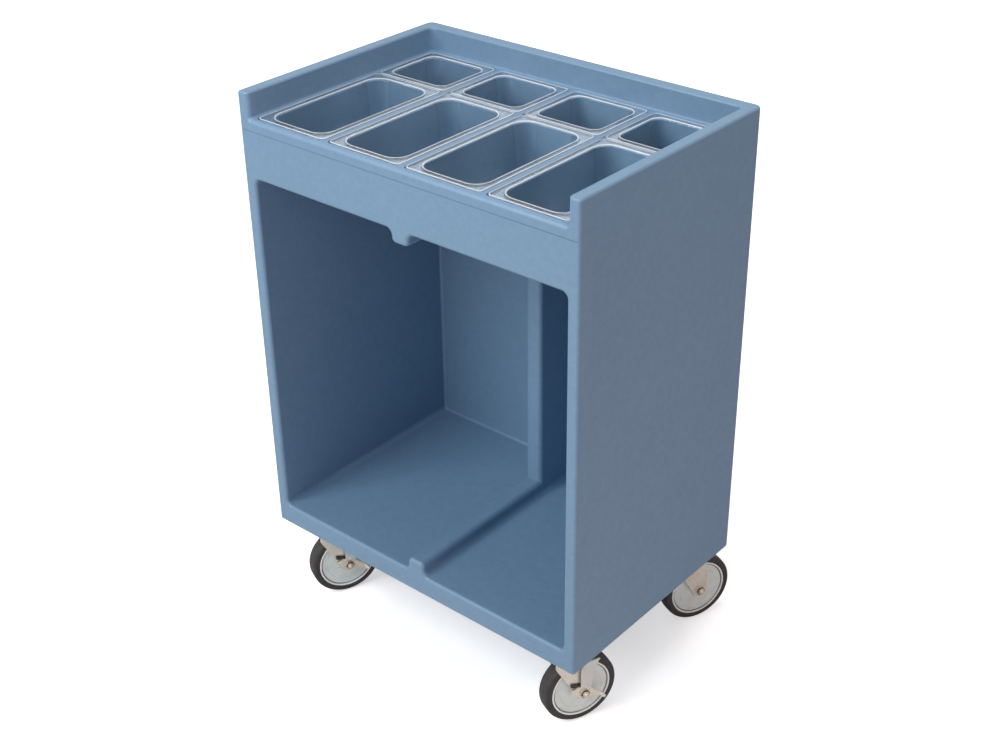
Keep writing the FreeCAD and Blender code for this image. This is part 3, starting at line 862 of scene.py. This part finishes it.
def make_core_model():
    """Wheel core: hub, nearly flat disc, groove, and the raised ring beside the tyre."""
    lip_outside = tyre_width / 2
    lip_inside = lip_outside - rim_lip_width
    half_web = web_thickness / 2
    groove = disc_groove_radius
    section = mirrored([
        (hub_length / 2, sleeve_radius, 0),
        (hub_length / 2, hub_radius, 2 * MM),
        (half_web + web_dish, hub_radius, 1.2 * MM),
        (half_web + 0.5 * web_dish, disc_line_inner, 0.3 * MM),
        (half_web - disc_line_depth, disc_line_inner + disc_line_flank, 0.2 * MM),
        (half_web - disc_line_depth, disc_line_outer - disc_line_flank, 0.2 * MM),
        (half_web + 0.4 * web_dish, disc_line_outer, 0.3 * MM),
        (half_web, groove + 0.4 * MM, 0.5 * MM),
        (half_web - 1.8 * MM, groove + 0.9 * MM, 0.3 * MM),
        (half_web - 1.8 * MM, groove + 2 * MM, 0.3 * MM),
        (lip_outside - 0.2 * MM, groove + 2.5 * MM, 0.6 * MM),
        (lip_outside + 0.2 * MM, rim_radius + 1 * MM, 1 * MM),
        (lip_outside - 0.3 * MM, rim_radius + rim_lip_height, 0.7 * MM),
        (lip_inside, rim_radius + rim_lip_height, 0.5 * MM),
        (lip_inside, rim_radius, 0),
    ])
    core = turned(rounded(section, 4), 120)
    mark(core, "turning_radius", lambda point: math.hypot(point.y, point.z))
    shade(core)
    return core


def leg_outline():
    """The fork from the side: crown, slanted leading edge, upright trailing edge, axle boss."""
    trail_edge = caster_trail + axle_boss_radius
    foot = wheel_radius - axle_boss_radius
    lead_height = crown_top - leg_lead_drop
    run = caster_trail + crown_lead
    drop = lead_height - wheel_radius
    slope = math.atan2(drop, run) + math.asin(axle_boss_radius / math.hypot(run, drop))
    foot_lead = (lead_height - foot) / math.tan(slope) - crown_lead
    return [
        (-crown_lead, crown_top, 3 * MM),
        (crown_trail, crown_top, 3 * MM),
        (trail_edge, crown_top - leg_trail_drop, 12 * MM),
        (trail_edge, foot, 9 * MM),
        (foot_lead, foot, 12 * MM),
        (-crown_lead, lead_height, 6 * MM),
    ]


def upright_disc(radius, z0, z1, edge=0.6 * MM):
    """A disc about the kingpin, its rims a little rounded."""
    section = [(z0, 0, 0), (z0, radius, edge), (z1, radius, edge), (z1, 0, 0)]
    disc = turned(rounded(section, 3), 64)
    disc.data.transform(Matrix.Rotation(-math.pi / 2, 4, "Y"))
    return disc


def make_fork_model():
    """Pressed steel fork about the kingpin: crown with its race, and two legs down to the axle."""
    foot = wheel_radius - axle_boss_radius - 5 * MM
    channel = [
        (-leg_outer, foot, 0),
        (-leg_inner, foot, 0),
        (-leg_inner, crown_bottom, fork_bend_radius - fork_sheet),
        (leg_inner, crown_bottom, fork_bend_radius - fork_sheet),
        (leg_inner, foot, 0),
        (leg_outer, foot, 0),
        (leg_outer, crown_top, fork_bend_radius),
        (-leg_outer, crown_top, fork_bend_radius),
    ]
    fork = prism(rounded(channel, 6), on_front(-4 * crown_trail), (0, 8 * crown_trail, 0))
    sides = prism(rounded(leg_outline(), 10), on_side(-2 * leg_outer), (4 * leg_outer, 0, 0))
    carve(fork, sides, "INTERSECT")
    break_edges(fork, 0.7 * MM)
    carve(fork, upright_disc(race_radius, crown_bottom + 0.5 * MM, crown_top - 0.05 * MM), "UNION")
    shade(fork)
    return fork


def hexagon_bar(flats, x0, x1):
    """A hexagonal bar along the axle with turned-off corners on its outer end."""
    reach = flats / math.sqrt(3)
    corners = [(reach * math.cos(math.pi * i / 3), reach * math.sin(math.pi * i / 3)) for i in range(6)]
    bar = prism(corners, on_side(x0), (x1 - x0, 0, 0))
    way = 1 if x1 > x0 else -1
    run_out = way * 1 * MM
    chamfer = way * 1.2 * MM
    barrel = [
        (x0 - run_out, 0),
        (x0 - run_out, reach * 1.2),
        (x1 - chamfer, reach * 1.01),
        (x1, flats / 2 * 0.96),
        (x1, 0),
    ]
    carve(bar, turned(barrel, 60), "INTERSECT")
    break_edges(bar, 0.25 * MM)
    return bar


def threaded_bar(radius, x0, thread, x1):
    """The bar of a bolt: a plain shank, a few ridges of thread, then a domed tip."""
    pitch = 1.25 * MM
    thread_depth = 0.6 * MM
    dome = 3 * MM
    count = int((x1 - dome - thread) / pitch)
    section = [(x0, 0), (x0, radius), (thread, radius)]
    for ridge in range(count):
        start = thread + ridge * pitch
        section += [
            (start + 0.25 * pitch, radius),
            (start + 0.6 * pitch, radius - thread_depth),
            (start + 0.9 * pitch, radius),
        ]
    for angle in quarter_turn:
        section.append((x1 - dome + dome * math.sin(angle), radius * math.cos(angle)))
    return turned(section, 48)


def make_axle_model(nut_seat):
    """Axle bolt: head on the inner leg, domed thread end standing out of the nut."""
    axle = hexagon_bar(axle_flats, -leg_outer, -leg_outer - axle_head_height)
    end = nut_seat + axle_nut_height + axle_thread_end
    carve(axle, threaded_bar(axle_radius, -leg_outer - axle_head_height / 2, nut_seat, end), "UNION")
    shade(axle)
    return axle


def make_nut_model(nut_seat):
    """Axle lock nut: plated washer face, hexagon painted near black as painted shade, plated collar."""
    face = nut_seat + 1.2 * MM
    face_radius = axle_flats * 0.58
    hexagon_end = nut_seat + axle_nut_height - 2.5 * MM
    collar_foot = nut_seat + axle_nut_height - 4 * MM
    collar_end = nut_seat + axle_nut_height - 1 * MM
    collar_radius = 7.4 * MM
    collar_bore = axle_radius + 0.2 * MM
    nut = turned(rounded([
        (nut_seat, axle_radius, 0),
        (nut_seat, face_radius, 0.3 * MM),
        (face, face_radius, 0.5 * MM),
        (face, axle_radius, 0),
    ], 3), 60)
    hexagon = hexagon_bar(axle_flats, nut_seat + 1 * MM, hexagon_end)
    collar = turned(rounded([
        (collar_foot, collar_bore, 0),
        (collar_foot, collar_radius, 0),
        (collar_end, collar_radius, 1.4 * MM),
        (collar_end, collar_bore, 0.4 * MM),
    ], 4), 60)
    carve(nut, hexagon, "UNION")
    carve(nut, collar, "UNION")
    shade(nut)
    # Painted shade: the hexagon is marked near black for the shade that falls round the nut.
    shade_start = face + 0.05 * MM
    shade_end = hexagon_end + 0.1 * MM
    mark(nut, "painted_shade", lambda point: 1.0 if shade_start < point.x < shade_end else 0.0)
    return nut


def side_drawing(*corners):
    """An outline on the wheel's side, corners in mm back from the axle and up."""
    return [(a * MM, b * MM, radius * MM) for a, b, radius in corners]


def axle_disc(radius, x0, x1):
    """A flat disc on the axle."""
    return turned([(x0, 0), (x0, radius), (x1, radius), (x1, 0)], 64)


def make_cam_model():
    """Brake cam on the fork's outer leg, with the stop above its hub; the stop fills the shaded gap under the
    fork leg and is finished near black as painted shade.
    """
    cam = axle_disc(brake_cam_radius, leg_outer, leg_outer + brake_cam_thickness)
    stop = side_drawing((-29, 20.5, 1.5), (-4, 13.5, 1.5), (-4, 22.5, 1.5), (-29, 29.5, 1.5))
    carve(cam, prism(rounded(stop), on_side(leg_outer), (brake_cam_thickness, 0, 0)), "UNION")
    break_edges(cam, brake_edge)
    shade(cam)
    return cam


def turn_out(piece, start, radius, angle, base):
    """Bends the end of a flat arm, drawn upwards from the axle, out from the wheel."""
    for point in piece.data.vertices:
        run = point.co.z - start
        if run > 0:
            bent = min(run / radius, angle)
            straight = max(run - radius * angle, 0)
            inside = radius - (point.co.x - base)
            point.co.x = base + radius - inside * math.cos(bent) + straight * math.sin(bent)
            point.co.z = start + inside * math.sin(bent) + straight * math.cos(bent)


def make_arm(corners, base, sheet, bend_start, bend_radius, lip_angle, lean):
    """A sheet arm, drawn upright, with its end turned out as a foot rest, then leaned over."""
    arm = prism(rounded(corners, 6), on_side(base), (sheet, 0, 0))
    take_up(arm)
    bpy.ops.object.mode_set(mode="EDIT")
    for step in range(bend_steps + 1):
        bpy.ops.mesh.select_all(action="SELECT")
        height = bend_start + bend_radius * lip_angle * step / bend_steps
        bpy.ops.mesh.bisect(plane_co=(0, 0, height), plane_no=(0, 0, 1))
    bpy.ops.object.mode_set(mode="OBJECT")
    turn_out(arm, bend_start, bend_radius, lip_angle, base)
    arm.data.transform(Matrix.Rotation(lean, 4, "X"))
    return arm


def rivet(x, y, z, radius, height):
    """A domed rivet head that stands out along the axle."""
    section = [(x, 0), (x, radius)]
    for angle in quarter_turn[1:]:
        section.append((x + height * math.sin(angle), radius * math.cos(angle)))
    head = turned(section, 32)
    head.data.transform(Matrix.Translation((0, y, z)))
    return head


def make_lever_model():
    """Side brake: rocker plate on the axle with its heel and horn, and the riveted pedal."""
    rocker = axle_disc(brake_hub_radius, lever_inner, lever_outer)
    heel = side_drawing((0, 12, 0), (-14, 20, 5), (-28, 10, 5), (-28, 0, 5), (0, -12, 0))
    ear = side_drawing((-8, 0, 0), (12, 0, 0), (12, 28, 4), (-8, 28, 4))
    for drawing in (heel, ear):
        carve(rocker, prism(rounded(drawing), on_side(lever_inner), (brake_sheet, 0, 0)), "UNION")
    horn = side_drawing((11, 4.5, 0), (3.6, 54, 2), (-1.8, 54, 2), (-7, 26, 12), (-15.6, 6.6, 0))
    horn = make_arm(horn, lever_inner, brake_sheet, horn_bend_start, horn_bend_radius, horn_bend, horn_lean)
    carve(rocker, horn, "UNION")
    break_edges(rocker, brake_edge)
    weld(rocker, brake_weld_gap)
    stud = rivet(lever_outer - rivet_sink, y=-1.5 * MM, z=-12.8 * MM, radius=2.2 * MM, height=1.2 * MM)
    carve(rocker, stud, "UNION")
    pedal = side_drawing((-9, 13, 2), (14, 13, 2), (17.5, 46, 20), (28, 68, 8),
                         (30, 88, 2.5), (8, 88, 2.5), (3, 80, 3), (-9, 64, 4))
    pedal = make_arm(pedal, lever_outer, pedal_sheet, pedal_bend_start, pedal_bend_radius, pedal_bend, 0)
    break_edges(pedal, brake_edge)
    stud = rivet(lever_outer + pedal_sheet - rivet_sink, y=3 * MM, z=19 * MM, radius=3.4 * MM, height=1.8 * MM)
    carve(pedal, stud, "UNION")
    mark(pedal, "bright", lambda point: 1.0)
    lever = joined([rocker, pedal])
    shade(lever)
    return lever


def bolt_offsets():
    """Where a plate's bolts stand round its kingpin."""
    reach_x = plate_width / 2 - bolt_edge
    reach_y = plate_length / 2 - bolt_edge
    return [(i * reach_x, j * reach_y) for i in (-1, 1) for j in (-1, 1)]


def make_plate_model():
    """Caster plate with the upper race, about the kingpin."""
    plate_bottom = pad_bottom - plate_thickness
    half_width = plate_width / 2
    half_length = plate_length / 2
    corners = rectangle(-half_width, half_width, -half_length, half_length, plate_corner_radius)
    plate = prism(rounded(corners), on_plan(plate_bottom), (0, 0, plate_thickness))
    break_edges(plate, 0.6 * MM)
    carve(plate, upright_disc(race_radius, crown_top + race_gap, plate_bottom + 0.1 * MM), "UNION")
    shade(plate)
    return plate


def make_bolt_model():
    """Head of a plate bolt, hanging below its washer."""
    seat = pad_bottom - plate_thickness - washer_thickness
    head = hexagon_bar(bolt_flats, -seat, -seat + bolt_head_height)
    head.data.transform(Matrix.Rotation(math.pi / 2, 4, "Y"))
    shade(head)
    return head


def make_washer_model():
    """Washer under a plate bolt's head."""
    top_side = pad_bottom - plate_thickness
    washer = upright_disc(washer_radius, top_side - washer_thickness, top_side, 0.4 * MM)
    shade(washer)
    return washer


def make_fixings(model, name, node):
    """The sixteen copies of a plate fixing, made one piece."""
    copies = []
    for corner in caster_corners:
        x, y, _ = kingpin(corner)
        copies += [copy_at(model, Matrix.Translation((x + dx, y + dy, 0))) for dx, dy in bolt_offsets()]
    bpy.data.objects.remove(model)
    dress(joined(copies), name, "fastener_steel", "cart", node)


def make_casters():
    """The four casters, the front two with their brakes."""
    plain_seat = leg_outer
    braked_seat = lever_outer + brake_gap
    every = [
        (make_tyre_model(), "rubber_tyre", "tyre_rubber", "wheel", "tyre", at_axle),
        (make_core_model(), "moulded_wheel", "wheel_plastic", "wheel", "wheel_core", at_axle),
        (make_fork_model(), "pressed_fork", "caster_steel", "swivel", "fork", at_kingpin),
    ]
    braked = [
        (make_axle_model(braked_seat), "axle_bolt", "fastener_steel", "swivel", "axle", at_axle),
        (make_nut_model(braked_seat), "collar_nut", "fastener_steel", "swivel", "axle_nut", at_axle),
        (make_cam_model(), "shade_black_cam", "cam_black", "swivel", "brake_cam", at_axle),
        (make_lever_model(), "brake_pedal", "caster_steel", "brake", "brake_lever", at_axle),
    ]
    plain = [
        (make_axle_model(plain_seat), "axle_bolt", "fastener_steel", "swivel", "axle", at_axle),
        (make_nut_model(plain_seat), "collar_nut", "fastener_steel", "swivel", "axle_nut", at_axle),
    ]
    for corner in caster_corners:
        for model, name, slot, body, node, place in every + (braked if corner in braked_corners else plain):
            piece = copy_at(model, place(corner))
            dress(piece, corner + "_" + name, slot, corner + "_" + body, corner + "_" + node)
    plate = make_plate_model()
    for corner in caster_corners:
        x, y, _ = kingpin(corner)
        piece = copy_at(plate, Matrix.Translation((x, y, 0)))
        dress(piece, corner + "_top_plate", "caster_steel", "cart", corner + "_plate")
    for model in [row[0] for row in every + braked + plain] + [plate]:
        bpy.data.objects.remove(model)
    make_fixings(make_bolt_model(), "plate_bolt_heads", "caster_bolts")
    make_fixings(make_washer_model(), "plate_washers", "caster_washers")


def finish_solids():
    """Gives the solids that stay in view their finishes."""
    for entry in frame["record"]["subparts"]:
        solid = bpy.data.objects[entry["node"]]
        solid.data.materials.clear()
        solid.data.materials.append(finishes[entry["material_slot"]])


# Studio

def add_lamp(name, place, target, size, watts, colour=(1.0, 1.0, 1.0)):
    """A soft square lamp, turned to its target."""
    data = bpy.data.lights.new(name, "AREA")
    data.size = size
    data.energy = watts
    data.color = colour
    lamp = bpy.data.objects.new(name, data)
    lamp.location = place
    lamp.rotation_euler = (Vector(target) - Vector(place)).to_track_quat("-Z", "Y").to_euler()
    scene.collection.objects.link(lamp)


def make_floor():
    """A wide pale floor that shows white to the camera and keeps the cart's shadow; the white is painted
    light, a glow seen only by the camera, weaker near the cart and stronger further out so that the shadow
    fades to white.
    """
    width = 40
    near, far = 0.26, 0.76
    glow_near, glow_far = 0.44, 0.90
    bpy.ops.object.select_all(action="DESELECT")
    bpy.ops.mesh.primitive_plane_add(size=width)
    floor = bpy.context.object
    floor.name = "studio_floor"
    paper = Finish("studio_paper", Roughness=0.9, Specular_IOR_Level=0.1)
    paper.set(Base_Color=paper.mix(paper.noise(2.0), (0.86, 0.86, 0.87, 1), (0.88, 0.88, 0.88, 1)))
    distance = paper.node("ShaderNodeVectorMath", {"operation": "LENGTH"}, {0: paper.place}, "Value")
    seen = paper.node("ShaderNodeLightPath", {}, {}, "Is Camera Ray")
    glow = paper.step(distance, near, far) * (glow_far - glow_near) + glow_near
    light = paper.node("ShaderNodeEmission", {}, {"Strength": seen * glow})
    paper.show(paper.node("ShaderNodeAddShader", {}, {0: paper.plain, 1: light}))
    floor.data.materials.append(paper.material)


def make_world():
    """White to the camera, to reflections and through clear plastic, softer as a light."""
    light_level = 0.26
    seen_level = 1.0
    world = bpy.data.worlds.new("studio_white")
    scene.world = world
    world.use_nodes = True
    tree = world.node_tree
    backdrop = tree.nodes["Background"]
    backdrop.inputs["Color"].default_value = (1, 1, 1, 1)
    path = tree.nodes.new("ShaderNodeLightPath")
    seen = path.outputs["Is Camera Ray"]
    for other in ("Is Glossy Ray", "Is Transmission Ray"):
        larger = tree.nodes.new("ShaderNodeMath")
        larger.operation = "MAXIMUM"
        tree.links.new(seen, larger.inputs[0])
        tree.links.new(path.outputs[other], larger.inputs[1])
        seen = larger.outputs[0]
    level = tree.nodes.new("ShaderNodeMapRange")
    level.inputs["To Min"].default_value = light_level
    level.inputs["To Max"].default_value = seen_level
    tree.links.new(seen, level.inputs["Value"])
    tree.links.new(level.outputs[0], backdrop.inputs["Strength"])


def make_camera():
    """The photograph's viewpoint."""
    lens = 55.148
    azimuth = math.radians(40.614)
    elevation = math.radians(30.32)
    roll = math.radians(-0.801)
    distance = 3137.6
    target = Vector((-5.0, -15.9, 585.3)) * MM
    level = math.cos(elevation)
    away = Vector((math.sin(azimuth) * level, -math.cos(azimuth) * level, math.sin(elevation)))
    data = bpy.data.cameras.new("photo_camera")
    data.lens = lens
    camera = bpy.data.objects.new("photo_camera", data)
    camera.location = target + away * distance * MM
    turn = (-away).to_track_quat("-Z", "Y") @ Quaternion((0, 0, 1), roll)
    camera.rotation_euler = turn.to_euler()
    scene.collection.objects.link(camera)
    scene.camera = camera


make_cart_body()
make_pans()
make_casters()
finish_solids()
make_floor()
make_world()
make_camera()
add_lamp("key_lamp", place=(-0.8, -2.8, 2.85), target=(0, 0, 0.6), size=2.2, watts=107)
add_lamp("side_fill", place=(3.0, -0.7, 1.2), target=(0, 0, 0.4), size=2.0, watts=15.5,
         colour=(1.0, 0.6, 0.59))
add_lamp("deck_fill", place=(0.65, 0.2, 3.0), target=(-0.3, 0, 1.1), size=0.8, watts=17)
